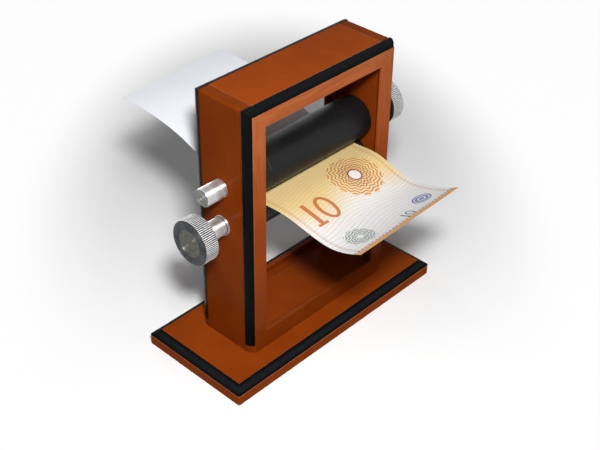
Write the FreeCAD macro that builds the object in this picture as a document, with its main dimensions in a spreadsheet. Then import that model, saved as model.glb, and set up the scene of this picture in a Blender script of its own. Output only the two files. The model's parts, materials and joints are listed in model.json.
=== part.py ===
"""A hand-turned paper mangle in a painted wooden frame, in millimetres.

Origin at the middle of the base's underside, +X along the rollers, -Y to the front, +Z up.
An upright box of four boards stands on a base board. A mitred moulding covers its front and
another its rear. Two rollers wound with one strip of black leathercloth run in bushes in the
side boards, one above the other. The lower one has its knob on the left and the upper one on
the right. A sleeve spaces each knob from its side board, and each axle has a plain collar on
its other end.
"""

import FreeCAD, Part
import math
import os

import Sketcher
from FreeCAD import Rotation, Vector

# Driving dimensions

SIZES = (
    # Base board
    ("base_length", 158.0),
    ("base_width", 71.0),
    ("base_thickness", 9.5),
    ("base_corner_radius", 1.0),
    ("base_band_width", 4.7),
    ("base_band_drop", 3.5),
    ("base_band_step", 0.6),
    # Upright box
    ("upright_width", 108.0),
    ("upright_depth", 40.3),
    ("upright_height", 149.0),
    ("board_thickness", 7.0),
    ("shoulder_radius", 1.5),
    # Front and rear mouldings
    ("moulding_width", 11.0),
    ("moulding_depth", 5.4),
    ("moulding_lip", 2.0),
    ("band_inset", 2.7),
    ("band_depth", 5.2),
    ("band_step", 0.6),
    # Rollers
    ("lower_axis_height", 76.6),
    ("roller_end_gap", 1.0),
    ("core_radius", 9.4),
    ("upper_winding", 2.9),
    ("lower_winding", 0.7),
    ("winding_end_round", 0.5),
    ("nip_gap", 0.3),
    ("axle_radius", 3.0),
    ("bush_wall", 1.5),
    ("running_clearance", 0.05),
    ("side_clearance", 0.3),
    # Collar on the free end of each axle
    ("collar_radius", 5.0),
    ("collar_length", 13.0),
    ("collar_bore_depth", 9.0),
    ("collar_chamfer", 0.4),
    ("collar_line_place", 2.4),
    ("collar_line_width", 0.5),
    ("collar_line_depth", 0.25),
    # Sleeve between each knob and its side board
    ("sleeve_radius", 5.1),
    ("upper_sleeve_length", 10.1),
    ("lower_sleeve_length", 13.7),
    ("sleeve_ring_radius", 5.6),
    ("sleeve_ring_width", 1.2),
    ("sleeve_groove_width", 0.5),
    ("sleeve_groove_depth", 0.5),
    # Knob on the driven end of each axle
    ("knob_radius", 12.5),
    ("knob_thickness", 9.0),
    ("knob_chamfer", 0.5),
    ("knob_dish_radius", 8.0),
    ("knob_dish_depth", 0.8),
    ("knob_bore_depth", 6.5),
    ("knurl_count", 76.0),
    ("knurl_depth", 0.32),
    ("knurl_width", 0.7),
    # Screws up through the base
    ("screw_radius", 1.75),
    ("screw_head_radius", 3.5),
    ("screw_head_height", 2.0),
    ("screw_length", 25.0),
    ("screw_sink", 0.5),
    ("screw_spacing", 18.0),
    # Papers
    ("paper_thickness", 0.12),
    ("paper_width", 77.0),
    ("paper_offset", 1.2),
    ("note_lead", 19.1),
    ("note_lead_angle", 2.3),
    ("note_fall_radius", 57.3),
    ("note_fall_angle", 20.5),
    ("note_curl_radius", 46.5),
    ("note_curl_angle", 51.8),
    ("blank_start", 0.6),
    ("blank_rise_radius", 81.7),
    ("blank_rise_angle", 24.5),
    ("blank_fall_radius", 136.2),
    ("blank_fall_angle", 28.5),
)

# How far a cutting outline stands clear of the solid it cuts
CLEAR = 1.0

# Two numbers, or two volumes, that differ by less are taken as equal
SMALL = 1e-6

# Places worked out from the driving dimensions, as expressions

HALF_WIDTH = "(Sizes.upright_width / 2)"
HALF_DEPTH = "(Sizes.upright_depth / 2)"
BASE_TOP = "Sizes.base_thickness"
BOX_HALF_DEPTH = "(Sizes.upright_depth / 2 - Sizes.moulding_depth)"
BOX_HALF_INSIDE = "(Sizes.upright_width / 2 - Sizes.board_thickness)"
LOWER_OUTER = "(Sizes.core_radius + Sizes.lower_winding)"
UPPER_OUTER = "(Sizes.core_radius + Sizes.upper_winding)"
LOWER_AXIS = "Sizes.lower_axis_height"
UPPER_AXIS = f"({LOWER_AXIS} + {LOWER_OUTER} + Sizes.nip_gap + {UPPER_OUTER})"
ROLLER_HALF_LENGTH = f"({BOX_HALF_INSIDE} - Sizes.roller_end_gap)"
BUSH_RADIUS = "(Sizes.axle_radius + Sizes.running_clearance + Sizes.bush_wall)"
SCREW_X = "(Sizes.upright_width / 2 - Sizes.board_thickness / 2)"

doc = FreeCAD.newDocument("paper_mangle")
sheet = doc.addObject("Spreadsheet::Sheet", "Sizes")
nodes = []


def fill_sheet():
    """Writes each driving dimension to a row of the sheet, with its name as the alias."""
    for row, (name, value) in enumerate(SIZES, start=1):
        sheet.set(f"A{row}", name)
        sheet.set(f"B{row}", str(value))
        sheet.setAlias(f"B{row}", name)
    doc.recompute()


def size(expression):
    """The number that an expression over the sheet has now."""
    return float(sheet.evalExpression(expression))


def new_body(name):
    """A named sub-part made of sketches and features."""
    body = doc.addObject("PartDesign::Body", name)
    body.Label = name
    nodes.append(body)
    return body


def place(item, x="0", y="0", z="0", turn=None):
    """Puts a sub-part at a place given by expressions, after an optional rotation."""
    if turn is not None:
        item.Placement = FreeCAD.Placement(Vector(0, 0, 0), turn)
    for axis, expression in (("x", x), ("y", y), ("z", z)):
        item.setExpression(f"Placement.Base.{axis}", expression)


def new_sketch(body, name, plane):
    """A sketch on one of the body's own origin planes."""
    sketch = body.newObject("Sketcher::SketchObject", name)
    support = [f for f in body.Origin.OriginFeatures if f.Role == plane][0]
    sketch.AttachmentSupport = [(support, "")]
    sketch.MapMode = "FlatFace"
    return sketch


def tie(sketch, kind, places, expression):
    """A dimension of a sketch that follows an expression."""
    index = sketch.addConstraint(Sketcher.Constraint(kind, *places, size(expression)))
    sketch.setExpression(f"Constraints[{index}]", expression)


def tie_point(sketch, edge, end, corner):
    """Both coordinates of an edge's end, measured from the sketch's origin."""
    tie(sketch, "DistanceX", (-1, 1, edge, end), corner[0])
    tie(sketch, "DistanceY", (-1, 1, edge, end), corner[1])


def add_outline(sketch, corners):
    """A closed outline of straight lines between corners given as expressions."""
    points = [Vector(size(x), size(y), 0) for x, y in corners]
    first = sketch.GeometryCount
    for number, point in enumerate(points):
        following = points[(number + 1) % len(points)]
        sketch.addGeometry(Part.LineSegment(point, following), False)
    for number in range(len(points)):
        edge = first + number
        following = first + (number + 1) % len(points)
        sketch.addConstraint(Sketcher.Constraint("Coincident", edge, 2, following, 1))
        tie_point(sketch, edge, 1, corners[number])


def add_circle(sketch, centre, radius):
    """A circle with its centre and radius given as expressions."""
    middle = Vector(size(centre[0]), size(centre[1]), 0)
    edge = sketch.addGeometry(Part.Circle(middle, Vector(0, 0, 1), size(radius)), False)
    tie_point(sketch, edge, 3, centre)
    tie(sketch, "Radius", (edge,), radius)


def add_band_cut(sketch, top, low, outside, centre_level):
    """What a plane removes from a square edge to leave a step and a convex round.

    top and low are the ends of the round as expressions, outside the far corner of the waste.
    centre_level is the axis, 0 or 1, on which the round's centre is level with an end: with
    low for 0, so the round runs into the side, and with top for 1, so it leaves the step flat.
    """
    a = Vector(size(top[0]), size(top[1]), 0)
    b = Vector(size(low[0]), size(low[1]), 0)
    far = Vector(size(outside[0]), size(outside[1]), 0)
    across = abs(b.x - a.x)
    down = abs(b.y - a.y)
    sense_x = math.copysign(1, b.x - a.x)
    sense_y = math.copysign(1, b.y - a.y)
    if centre_level == 0:
        radius = (across**2 + down**2) / (2 * across)
        centre = Vector(b.x - sense_x * radius, b.y, 0)
    else:
        radius = (across**2 + down**2) / (2 * down)
        centre = Vector(a.x, a.y + sense_y * radius, 0)
    middle = (a + b) * 0.5 - centre
    middle.normalize()
    arc = sketch.addGeometry(Part.Arc(a, centre + middle * radius, b), False)
    begins_at_a = sketch.getPoint(arc, 1).distanceToPoint(a) < 0.01
    end_a, end_b = (1, 2) if begins_at_a else (2, 1)
    waste = [b, Vector(far.x, b.y, 0), far, Vector(a.x, far.y, 0), a]
    lines = [
        sketch.addGeometry(Part.LineSegment(p, q), False) for p, q in zip(waste, waste[1:])
    ]
    sketch.addConstraint(Sketcher.Constraint("Coincident", arc, end_b, lines[0], 1))
    for edge, following in zip(lines, lines[1:]):
        sketch.addConstraint(Sketcher.Constraint("Coincident", edge, 2, following, 1))
    sketch.addConstraint(Sketcher.Constraint("Coincident", lines[-1], 2, arc, end_a))
    sketch.addConstraint(Sketcher.Constraint("Horizontal", lines[0]))
    sketch.addConstraint(Sketcher.Constraint("Vertical", lines[1]))
    sketch.addConstraint(Sketcher.Constraint("Horizontal", lines[2]))
    sketch.addConstraint(Sketcher.Constraint("Vertical", lines[3]))
    tie_point(sketch, arc, end_a, top)
    tie_point(sketch, arc, end_b, low)
    tie_point(sketch, lines[1], 2, outside)
    if centre_level == 0:
        tie(sketch, "DistanceY", (-1, 1, arc, 3), low[1])
    else:
        tie(sketch, "DistanceX", (-1, 1, arc, 3), top[0])


def pad(body, sketch, length, name):
    """Raises a sketch into the body by a length."""
    feature = body.newObject("PartDesign::Pad", name)
    feature.Profile = sketch
    feature.setExpression("Length", length)
    doc.recompute()
    return feature


def cut_through(body, sketch, name, reverse=False, midplane=False):
    """Cuts a sketch right through the body, and stops if that removes nothing."""
    before = body.Shape.Volume
    feature = body.newObject("PartDesign::Pocket", name)
    feature.Profile = sketch
    feature.Type = "ThroughAll"
    feature.Reversed = reverse
    if midplane:
        feature.SideType = "Symmetric"
    doc.recompute()
    if not body.Shape.Volume < before - SMALL:
        raise RuntimeError(f"{name} of {body.Label} cuts nothing")
    return feature


def turned(name, corners):
    """A body turned about its X axis from a half outline."""
    body = new_body(name)
    sketch = new_sketch(body, f"{name}_outline", "XY_Plane")
    add_outline(sketch, corners)
    feature = body.newObject("PartDesign::Revolution", f"{name}_turning")
    feature.Profile = sketch
    feature.ReferenceAxis = (sketch, ["H_Axis"])
    feature.Angle = 360
    doc.recompute()
    return body


# Base and upright


def build_base():
    """The base board, with a stepped round along all four top edges and four screw holes."""
    body = new_body("base_board")
    half_length = "(Sizes.base_length / 2)"
    half_width = "(Sizes.base_width / 2)"
    outline = new_sketch(body, "base_outline", "XY_Plane")
    corners = [
        (f"-{half_length}", f"-{half_width}"),
        (half_length, f"-{half_width}"),
        (half_length, half_width),
        (f"-{half_length}", half_width),
    ]
    add_outline(outline, corners)
    slab = pad(body, outline, "Sizes.base_thickness", "base_slab")
    upright_edges = [
        f"Edge{number}"
        for number, edge in enumerate(slab.Shape.Edges, start=1)
        if abs(edge.tangentAt(edge.FirstParameter).z) > 0.99
    ]
    rounding = body.newObject("PartDesign::Fillet", "base_corners")
    rounding.Base = (slab, upright_edges)
    rounding.setExpression("Radius", "Sizes.base_corner_radius")
    doc.recompute()
    step_height = "(Sizes.base_thickness - Sizes.base_band_step)"
    low_height = "(Sizes.base_thickness - Sizes.base_band_drop)"
    clear_height = f"(Sizes.base_thickness + {CLEAR})"
    for name, plane, half in (
        ("long_edges", "YZ_Plane", half_width),
        ("short_edges", "XZ_Plane", half_length),
    ):
        sketch = new_sketch(body, f"base_{name}", plane)
        for sign in ("-", ""):
            inner = f"{sign}({half} - Sizes.base_band_width)"
            top = (inner, step_height)
            low = (f"{sign}{half}", low_height)
            outside = (f"{sign}({half} + {CLEAR})", clear_height)
            add_band_cut(sketch, top, low, outside, 1)
        cut_through(body, sketch, f"base_band_{name}", midplane=True)
    holes = new_sketch(body, "base_screw_holes", "XY_Plane")
    for x, y in screw_places():
        add_circle(holes, (x, y), "Sizes.screw_radius")
    cut_through(body, holes, "base_screw_bores", reverse=True)
    slope = "((Sizes.screw_head_radius - Sizes.screw_radius) / Sizes.screw_head_height)"
    before = body.Shape.Volume
    for number, (x, y) in enumerate(screw_places(), start=1):
        seat = body.newObject("PartDesign::SubtractiveCone", f"screw_seat_{number}")
        seat.setExpression("Radius1", f"Sizes.screw_head_radius + {slope} * Sizes.screw_sink")
        seat.setExpression("Radius2", "Sizes.screw_radius")
        seat.setExpression("Height", "Sizes.screw_head_height + Sizes.screw_sink")
        seat.setExpression("Placement.Base.x", x)
        seat.setExpression("Placement.Base.y", y)
        doc.recompute()
        if not body.Shape.Volume < before - SMALL:
            raise RuntimeError(f"screw seat {number} cuts nothing")
        before = body.Shape.Volume


def screw_places():
    """Where the four screws stand, as expressions in the base's plane."""
    half_spacing = "(Sizes.screw_spacing / 2)"
    return [(f"{a}{SCREW_X}", f"{b}{half_spacing}") for a in ("-", "") for b in ("-", "")]


def build_side_board(name, sign):
    """A side board with a round shoulder at its outer top edge and a hole for each bush."""
    body = new_body(name)
    sketch = new_sketch(body, f"{name}_outline", "YZ_Plane")
    corners = [
        (f"-{BOX_HALF_DEPTH}", "0"),
        (BOX_HALF_DEPTH, "0"),
        (BOX_HALF_DEPTH, "Sizes.upright_height"),
        (f"-{BOX_HALF_DEPTH}", "Sizes.upright_height"),
    ]
    add_outline(sketch, corners)
    add_circle(sketch, ("0", LOWER_AXIS), BUSH_RADIUS)
    add_circle(sketch, ("0", UPPER_AXIS), BUSH_RADIUS)
    board = pad(body, sketch, "Sizes.board_thickness", f"{name}_board")
    outer = 0 if sign < 0 else size("Sizes.board_thickness")
    summit = size("Sizes.upright_height")
    shoulder = [
        f"Edge{number}"
        for number, edge in enumerate(board.Shape.Edges, start=1)
        if all(
            abs(end.X - outer) < SMALL and abs(end.Z - summit) < SMALL for end in edge.Vertexes
        )
    ]
    rounding = body.newObject("PartDesign::Fillet", f"{name}_shoulder")
    rounding.Base = (board, shoulder)
    rounding.setExpression("Radius", "Sizes.shoulder_radius")
    doc.recompute()
    left = f"-{HALF_WIDTH}" if sign < 0 else BOX_HALF_INSIDE
    holes = new_sketch(body, f"{name}_screw_holes", "XY_Plane")
    for b in ("-", ""):
        centre = ("Sizes.board_thickness / 2", f"{b}(Sizes.screw_spacing / 2)")
        add_circle(holes, centre, "Sizes.screw_radius")
    bores = body.newObject("PartDesign::Pocket", f"{name}_screw_bores")
    bores.Profile = holes
    bores.Reversed = True
    depth = "Sizes.screw_length + Sizes.screw_sink - Sizes.base_thickness"
    bores.setExpression("Length", depth)
    before = body.Shape.Volume
    doc.recompute()
    if not body.Shape.Volume < before - SMALL:
        raise RuntimeError(f"the screw bores of {name} cut nothing")
    place(body, x=left, z=BASE_TOP)
    return body


def build_cross_board(name, height):
    """The top or bottom board, between the side boards."""
    body = new_body(name)
    sketch = new_sketch(body, f"{name}_outline", "XY_Plane")
    corners = [
        (f"-{BOX_HALF_INSIDE}", f"-{BOX_HALF_DEPTH}"),
        (BOX_HALF_INSIDE, f"-{BOX_HALF_DEPTH}"),
        (BOX_HALF_INSIDE, BOX_HALF_DEPTH),
        (f"-{BOX_HALF_INSIDE}", BOX_HALF_DEPTH),
    ]
    add_outline(sketch, corners)
    pad(body, sketch, "Sizes.board_thickness", f"{name}_board")
    place(body, z=f"{BASE_TOP} + {height}")
    return body


def build_moulding(name, length, banded):
    """One mitred side of a moulding frame.

    It lies along X, with its inner edge on the X axis, its outer edge towards +Y, its face in
    the XY plane and its back towards +Z. Behind the lip it is rebated up to the box's boards.
    The stepped round runs along its outer edge, or, on the rail that stands on the base, over
    its two ends, where it carries on the round of the stiles.
    """
    body = new_body(name)
    face = new_sketch(body, f"{name}_face", "XY_Plane")
    corners = [
        ("0", "Sizes.moulding_width"),
        ("Sizes.moulding_width", "0"),
        (f"{length} - Sizes.moulding_width", "0"),
        (length, "Sizes.moulding_width"),
    ]
    add_outline(face, corners)
    pad(body, face, "Sizes.moulding_depth", f"{name}_strip")
    rebate = new_sketch(body, f"{name}_rebate", "YZ_Plane")
    overhang = "(Sizes.moulding_width - Sizes.board_thickness)"
    back = f"(Sizes.moulding_depth + {CLEAR})"
    corners = [
        (f"-{CLEAR}", "Sizes.moulding_lip"),
        (overhang, "Sizes.moulding_lip"),
        (overhang, back),
        (f"-{CLEAR}", back),
    ]
    add_outline(rebate, corners)
    cut_through(body, rebate, f"{name}_rebate_cut", reverse=True)
    if banded:
        band = new_sketch(body, f"{name}_band", "YZ_Plane")
        inner = "(Sizes.moulding_width - Sizes.band_inset)"
        top = (inner, "Sizes.band_step")
        low = ("Sizes.moulding_width", "Sizes.band_depth")
        outside = (f"(Sizes.moulding_width + {CLEAR})", f"-{CLEAR}")
        add_band_cut(band, top, low, outside, 0)
        cut_through(body, band, f"{name}_band_cut", reverse=True)
    else:
        ends = new_sketch(body, f"{name}_end_bands", "XZ_Plane")
        for inner, edge, beyond in (
            ("Sizes.band_inset", "0", f"-{CLEAR}"),
            (f"({length} - Sizes.band_inset)", length, f"({length} + {CLEAR})"),
        ):
            top = (inner, "Sizes.band_step")
            low = (edge, "Sizes.band_depth")
            add_band_cut(ends, top, low, (beyond, f"-{CLEAR}"), 0)
        cut_through(body, ends, f"{name}_end_cut")
    return body


def build_frame(side, facing):
    """The four mitred mouldings of one side. facing is 0 for the front and 180 for the rear.

    Left and right are those of the whole object, seen from its front.
    """
    half = HALF_WIDTH
    inside_x = f"({HALF_WIDTH} - Sizes.moulding_width)"
    bottom = f"({BASE_TOP} + Sizes.moulding_width)"
    top = f"({BASE_TOP} + Sizes.upright_height - Sizes.moulding_width)"
    summit = f"({BASE_TOP} + Sizes.upright_height)"
    # The side of the frame, its length, its place in the front frame and its roll about -Y.
    parts = (
        ("right_stile", "Sizes.upright_height", (inside_x, BASE_TOP), 90, True),
        ("left_stile", "Sizes.upright_height", (f"-{inside_x}", summit), 270, True),
        ("top_rail", "Sizes.upright_width", (half, top), 180, True),
        ("bottom_rail", "Sizes.upright_width", (f"-{half}", bottom), 0, False),
    )
    # The strip is built face down: its face looks along -Z, and this turns it to look along -Y.
    upright = Rotation(Vector(1, 0, 0), -90)
    other_side = {"right_stile": "left_stile", "left_stile": "right_stile"}
    for part, length, (x, z), roll, banded in parts:
        name = f"{side}_{other_side.get(part, part) if facing else part}"
        body = build_moulding(name, length, banded)
        turn = Rotation(Vector(0, -1, 0), roll).multiply(upright)
        turn = Rotation(Vector(0, 0, 1), facing).multiply(turn)
        if facing:
            place(body, x=f"-({x})", y=HALF_DEPTH, z=z, turn=turn)
        else:
            place(body, x=x, y=f"-{HALF_DEPTH}", z=z, turn=turn)


# Rollers


def axis_height(axis):
    """The height of an axle above the ground, as an expression."""
    return f"{BASE_TOP} + {axis}"


def build_bush(name, axis, left):
    """A plain bush that fills the side board's hole."""
    inner = "(Sizes.axle_radius + Sizes.running_clearance)"
    corners = [
        ("0", inner),
        ("Sizes.board_thickness", inner),
        ("Sizes.board_thickness", BUSH_RADIUS),
        ("0", BUSH_RADIUS),
    ]
    body = turned(name, corners)
    place(body, x=left, z=axis_height(axis))


def build_axle(name, axis, sleeve_length, turn):
    """The steel axle, from the bottom of the collar's bore to the bottom of the knob's bore."""
    side = f"({HALF_WIDTH} + Sizes.side_clearance)"
    collar_end = f"-({side} + Sizes.collar_bore_depth)"
    knob_end = f"({side} + {sleeve_length} + Sizes.knob_bore_depth)"
    corners = [
        (collar_end, "0"),
        (knob_end, "0"),
        (knob_end, "Sizes.axle_radius"),
        (collar_end, "Sizes.axle_radius"),
    ]
    body = turned(name, corners)
    place(body, z=axis_height(axis), turn=turn)


def build_core(name, axis):
    """The wooden roller that is fixed on the axle."""
    corners = [
        (f"-{ROLLER_HALF_LENGTH}", "Sizes.axle_radius"),
        (ROLLER_HALF_LENGTH, "Sizes.axle_radius"),
        (ROLLER_HALF_LENGTH, "Sizes.core_radius"),
        (f"-{ROLLER_HALF_LENGTH}", "Sizes.core_radius"),
    ]
    body = turned(name, corners)
    place(body, z=axis_height(axis))


def build_winding(name, axis, outer):
    """The leathercloth that is wound on one roller, with softly rounded ends."""
    corners = [
        (f"-{ROLLER_HALF_LENGTH}", "Sizes.core_radius"),
        (ROLLER_HALF_LENGTH, "Sizes.core_radius"),
        (ROLLER_HALF_LENGTH, outer),
        (f"-{ROLLER_HALF_LENGTH}", outer),
    ]
    body = turned(name, corners)
    solid = body.Tip
    radius = size(outer)
    rims = [
        f"Edge{number}"
        for number, edge in enumerate(solid.Shape.Edges, start=1)
        if isinstance(edge.Curve, Part.Circle) and abs(edge.Curve.Radius - radius) < SMALL
    ]
    rounding = body.newObject("PartDesign::Fillet", f"{name}_ends")
    rounding.Base = (solid, rims)
    rounding.setExpression("Radius", "Sizes.winding_end_round")
    doc.recompute()
    place(body, z=axis_height(axis))


def build_collar(name, axis):
    """The plain collar on an axle's free end, with one fine turned line.

    It is drawn with X counted outwards from the side board, and turned round to the left.
    """
    start = "Sizes.side_clearance"
    end = f"({start} + Sizes.collar_length)"
    shoulder = f"({end} - Sizes.collar_chamfer)"
    line = f"({end} - Sizes.collar_line_place)"
    corners = [
        (start, "Sizes.axle_radius"),
        (start, "Sizes.collar_radius"),
        (f"{line} - Sizes.collar_line_width / 2", "Sizes.collar_radius"),
        (line, "Sizes.collar_radius - Sizes.collar_line_depth"),
        (f"{line} + Sizes.collar_line_width / 2", "Sizes.collar_radius"),
        (shoulder, "Sizes.collar_radius"),
        (end, "Sizes.collar_radius - Sizes.collar_chamfer"),
        (end, "0"),
        (f"{start} + Sizes.collar_bore_depth", "0"),
        (f"{start} + Sizes.collar_bore_depth", "Sizes.axle_radius"),
    ]
    body = turned(name, corners)
    half_turn = Rotation(Vector(0, 0, 1), 180)
    place(body, x=f"-{HALF_WIDTH}", z=axis_height(axis), turn=half_turn)
    return body


def build_sleeve(name, axis, length, left, turn):
    """The sleeve between a knob and the side board, with a ring and a groove at the board.

    It is drawn with X counted outwards from the side board.
    """
    start = "Sizes.side_clearance"
    ring = f"({start} + Sizes.sleeve_ring_width)"
    groove = f"({ring} + Sizes.sleeve_groove_width)"
    groove_radius = "(Sizes.sleeve_radius - Sizes.sleeve_groove_depth)"
    end = f"({start} + {length})"
    corners = [
        (start, "Sizes.axle_radius"),
        (start, "Sizes.sleeve_ring_radius"),
        (ring, "Sizes.sleeve_ring_radius"),
        (ring, groove_radius),
        (groove, groove_radius),
        (groove, "Sizes.sleeve_radius"),
        (end, "Sizes.sleeve_radius"),
        (end, "Sizes.axle_radius"),
    ]
    body = turned(name, corners)
    place(body, x=left, z=axis_height(axis), turn=turn)


def build_knob(name, axis, sleeve_length):
    """A knurled knob with a dished face, on the right, with X counted from the side board."""
    back = f"(Sizes.side_clearance + {sleeve_length})"
    face = f"({back} + Sizes.knob_thickness)"
    chamfer_radius = "(Sizes.knob_radius - Sizes.knob_chamfer)"
    dish = f"({face} - Sizes.knob_dish_depth)"
    bore = f"({back} + Sizes.knob_bore_depth)"
    corners = [
        (back, "Sizes.axle_radius"),
        (back, chamfer_radius),
        (f"{back} + Sizes.knob_chamfer", "Sizes.knob_radius"),
        (f"{face} - Sizes.knob_chamfer", "Sizes.knob_radius"),
        (face, chamfer_radius),
        (face, "Sizes.knob_dish_radius"),
        (dish, "Sizes.knob_dish_radius - Sizes.knob_dish_depth"),
        (dish, "0"),
        (bore, "0"),
        (bore, "Sizes.axle_radius"),
    ]
    body = turned(name, corners)
    notch = new_sketch(body, f"{name}_notch", "YZ_Plane")
    slope = "(Sizes.knurl_width / 2 / Sizes.knurl_depth)"
    outside = f"(Sizes.knob_radius + {CLEAR})"
    half_mouth = f"({slope} * (Sizes.knurl_depth + {CLEAR}))"
    corners = [
        ("Sizes.knob_radius - Sizes.knurl_depth", "0"),
        (outside, half_mouth),
        (outside, f"-{half_mouth}"),
    ]
    add_outline(notch, corners)
    pocket = cut_through(body, notch, f"{name}_knurl_notch", reverse=True)
    pattern = body.newObject("PartDesign::PolarPattern", f"{name}_knurl")
    pattern.Originals = [pocket]
    pattern.Axis = (notch, ["N_Axis"])
    pattern.Angle = 360
    pattern.setExpression("Occurrences", "Sizes.knurl_count")
    body.Tip = pattern
    doc.recompute()
    place(body, x=HALF_WIDTH, z=axis_height(axis))
    return body


def build_mirrored(name, source):
    """A piece mirrored to the other side of the machine."""
    copy = doc.addObject("Part::Mirroring", name)
    copy.Label = name
    copy.Source = source
    copy.Normal = Vector(1, 0, 0)
    nodes.append(copy)
    return copy


# Screws


def build_screws():
    """Four countersunk screws from the base's underside into the side boards."""
    screws = []
    for number, (x, y) in enumerate(screw_places(), start=1):
        head = doc.addObject("Part::Cone", f"screw_head_{number}")
        head.setExpression("Radius1", "Sizes.screw_head_radius")
        head.setExpression("Radius2", "Sizes.screw_radius")
        head.setExpression("Height", "Sizes.screw_head_height")
        shank = doc.addObject("Part::Cylinder", f"screw_shank_{number}")
        shank.setExpression("Radius", "Sizes.screw_radius")
        shank.setExpression("Height", "Sizes.screw_length")
        screw = doc.addObject("Part::Fuse", f"screw_{number}")
        screw.Base = head
        screw.Tool = shank
        place(screw, x=x, y=y, z="Sizes.screw_sink")
        screws.append(screw)
    group = doc.addObject("Part::Compound", "base_screws")
    group.Label = "base_screws"
    group.Links = screws
    nodes.append(group)


# Papers


def paper_face(start, heading, steps, thickness):
    """The long narrow side face of a curved sheet, in the YZ plane.

    steps are (radius, turn): the sheet runs on along an arc and turns by that many degrees,
    to its left if the turn is positive. A step with turn 0 runs straight for radius.
    """
    edges = {1: [], -1: []}
    y, z = start
    angle = math.radians(heading)
    ends = {}
    for side in (1, -1):
        away = Vector(0, -math.sin(angle), math.cos(angle)) * (side * thickness / 2)
        ends[side] = Vector(0, y, z) + away
    first = dict(ends)
    for radius, turn in steps:
        if turn == 0:
            y += radius * math.cos(angle)
            z += radius * math.sin(angle)
            for side in (1, -1):
                away = Vector(0, -math.sin(angle), math.cos(angle)) * (side * thickness / 2)
                target = Vector(0, y, z) + away
                edges[side].append(Part.LineSegment(ends[side], target).toShape())
                ends[side] = target
            continue
        sense = math.copysign(1, turn)
        left = Vector(0, -math.sin(angle), math.cos(angle))
        centre = Vector(0, y, z) + left * (sense * radius)
        swing = math.radians(turn)
        for side in (1, -1):
            reach = radius - sense * side * thickness / 2
            points = []
            for share in (0.5, 1.0):
                at = angle + swing * share
                out = Vector(0, math.sin(at), -math.cos(at)) * (sense * reach)
                points.append(centre + out)
            edges[side].append(Part.Arc(ends[side], points[0], points[1]).toShape())
            ends[side] = points[1]
        angle += swing
        last = centre + Vector(0, math.sin(angle), -math.cos(angle)) * (sense * radius)
        y, z = last.y, last.z
    near = Part.LineSegment(first[1], first[-1]).toShape()
    far = Part.LineSegment(ends[1], ends[-1]).toShape()
    wire = Part.Wire(Part.__sortEdges__(edges[1] + [far] + edges[-1] + [near]))
    return Part.Face(wire)


def build_paper(name, start, heading, steps):
    """A sheet of paper that follows steps from the nip, centred a little right of the middle."""
    face = paper_face(start, heading, steps, size("Sizes.paper_thickness"))
    width = size("Sizes.paper_width")
    paper = doc.addObject("Part::Feature", name)
    paper.Label = name
    paper.Shape = face.extrude(Vector(width, 0, 0))
    place(paper, x="Sizes.paper_offset - Sizes.paper_width / 2")
    nodes.append(paper)


def build_papers():
    """The printed note in front of the nip and the blank sheet behind it."""
    nip = size(f"{BASE_TOP} + {LOWER_AXIS} + {LOWER_OUTER} + Sizes.nip_gap / 2")
    tilt = size("Sizes.note_lead_angle")
    note_steps = [
        (size("Sizes.note_lead"), 0),
        (size("Sizes.note_fall_radius"), size("Sizes.note_fall_angle")),
        (size("Sizes.note_curl_radius"), -size("Sizes.note_curl_angle")),
    ]
    build_paper("note", (0, nip), 180 - tilt, note_steps)
    blank_steps = [
        (size("Sizes.blank_rise_radius"), size("Sizes.blank_rise_angle")),
        (size("Sizes.blank_fall_radius"), -size("Sizes.blank_fall_angle")),
    ]
    build_paper("blank_sheet", (size("Sizes.blank_start"), nip), 0, blank_steps)


def build_rollers():
    """Both rollers with their bushes. The lower one is turned end for end against the upper."""
    half_turn = Rotation(Vector(0, 0, 1), 180)
    upper_sleeve = "Sizes.upper_sleeve_length"
    lower_sleeve = "Sizes.lower_sleeve_length"
    for name, axis, outer, sleeve, side, turn in (
        ("upper", UPPER_AXIS, UPPER_OUTER, upper_sleeve, HALF_WIDTH, None),
        ("lower", LOWER_AXIS, LOWER_OUTER, lower_sleeve, f"-{HALF_WIDTH}", half_turn),
    ):
        build_bush(f"{name}_left_bush", axis, f"-{HALF_WIDTH}")
        build_bush(f"{name}_right_bush", axis, BOX_HALF_INSIDE)
        build_axle(f"{name}_axle", axis, sleeve, turn)
        build_core(f"{name}_roller_core", axis)
        build_winding(f"{name}_cloth_winding", axis, outer)
        build_sleeve(f"{name}_knob_sleeve", axis, sleeve, side, turn)
    drop = f"{LOWER_AXIS} - {UPPER_AXIS}"
    knob = build_knob("upper_knob", UPPER_AXIS, upper_sleeve)
    place(build_mirrored("lower_knob", knob), x=f"{upper_sleeve} - {lower_sleeve}", z=drop)
    collar = build_collar("upper_end_collar", UPPER_AXIS)
    place(build_mirrored("lower_end_collar", collar), z=drop)


def check_all():
    """Stops if any object failed or any sub-part has no valid shape."""
    for item in doc.Objects:
        bad = {"Invalid", "Error"} & set(item.State)
        if bad:
            raise RuntimeError(f"{item.Label} is {sorted(bad)}")
    for item in nodes:
        if item.Shape.isNull() or not item.Shape.isValid() or not item.Shape.Solids:
            raise RuntimeError(f"{item.Label} has no valid solid")


def export_all():
    """Writes each sub-part to a file of its own name."""
    os.makedirs("parts", exist_ok=True)
    for item in nodes:
        item.Shape.exportStep(f"parts/{item.Label}.step")
        print(f"{item.Label}: {len(item.Shape.Solids)} solid, {item.Shape.Volume:.1f} mm3")


fill_sheet()
build_base()
build_side_board("left_side_board", -1)
build_side_board("right_side_board", 1)
build_cross_board("bottom_board", "0")
build_cross_board("top_board", "(Sizes.upright_height - Sizes.board_thickness)")
build_frame("front", 0)
build_frame("rear", 180)
build_rollers()
build_screws()
build_papers()
doc.recompute()
check_all()
export_all()
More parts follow.
